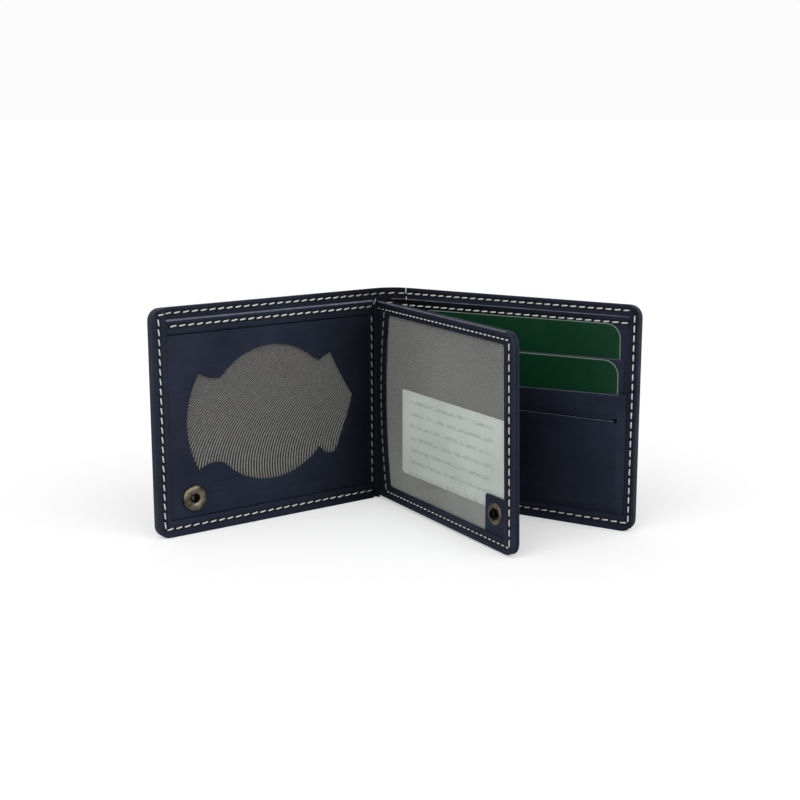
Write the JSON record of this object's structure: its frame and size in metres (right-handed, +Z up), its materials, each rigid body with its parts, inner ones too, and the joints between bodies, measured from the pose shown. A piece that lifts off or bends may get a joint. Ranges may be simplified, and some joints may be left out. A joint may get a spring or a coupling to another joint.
{
  "type": "badge wallet",
  "caption": "Folding leather badge wallet standing open, with a badge-shaped window on one leaf, stepped card slots on the other, and a clear-fronted flap with a ring snap between them.",
  "frame": {"origin": "middle of the footprint, on the surface that the wallet stands on", "axes": "+Z up, +X to the card leaf's side, +Y towards the spine"},
  "size_m": [0.1784, 0.0876, 0.085],
  "materials": {
    "navy_leather": "semi-matt grain",
    "ribbed_cloth": "diagonal rib",
    "lining_cloth": "plain weave",
    "thread": "waxed thread",
    "snap_metal": "antiqued",
    "spring_steel": "bright wire",
    "clear_sheet": "clear",
    "slip_paper": "matt",
    "card_board": "satin print"
  },
  "bodies": {
    "badge_leaf": {"badge_cover": "navy_leather", "badge_cover_hem": "navy_leather", "badge_cover_lining": "lining_cloth", "badge_panel": "navy_leather", "badge_backing": "ribbed_cloth", "snap_socket": "snap_metal", "socket_spring": "spring_steel", "socket_eyelet": "snap_metal", "badge_stitching": "thread"},
    "id_flap": {"flap_frame": "navy_leather", "flap_window": "clear_sheet", "flap_tab": "navy_leather", "snap_stud": "snap_metal", "stud_eyelet": "snap_metal", "flap_welt": "navy_leather", "flap_backing": "ribbed_cloth", "flap_back": "navy_leather", "flap_stitching": "thread", "flap_hinge": "navy_leather", "cover_spine": "navy_leather", "spine_lining": "lining_cloth"},
    "card_leaf": {"card_cover": "navy_leather", "card_cover_hem": "navy_leather", "card_cover_lining": "lining_cloth", "card_panel": "navy_leather", "card_backing": "lining_cloth", "pocket_strip": "navy_leather", "pocket_front": "navy_leather", "card_stitching": "thread"},
    "id_slip": {"id_slip": "slip_paper"},
    "upper_card": {"upper_card": "card_board"},
    "lower_card": {"lower_card": "card_board"}
  },
  "joints": [
    {"name": "badge_leaf_fold", "type": "hinge", "parent": "id_flap", "child": "badge_leaf", "pos_m": [-0.00878, 0.03526, 0], "axis": [0, 0, -1], "range_deg": [-84.3, 5.7], "deforming": ["flap_hinge", "cover_spine", "spine_lining"]},
    {"name": "card_leaf_fold", "type": "hinge", "parent": "id_flap", "child": "card_leaf", "pos_m": [-0.00653, 0.04129, 0], "axis": [0, 0, 1], "range_deg": [-27.3, 62.7], "deforming": ["cover_spine", "spine_lining"]},
    {"name": "upper_card_slide", "type": "slide", "parent": "card_leaf", "child": "upper_card", "axis": [0, 0, 1], "range_m": [0, 0.0414]},
    {"name": "lower_card_slide", "type": "slide", "parent": "card_leaf", "child": "lower_card", "axis": [0, 0, 1], "range_m": [0, 0.0414]},
    {"name": "id_slip_slide", "type": "slide", "parent": "id_flap", "child": "id_slip", "axis": [0, 0, 1], "range_m": [0, 0.0646]}
  ]
}
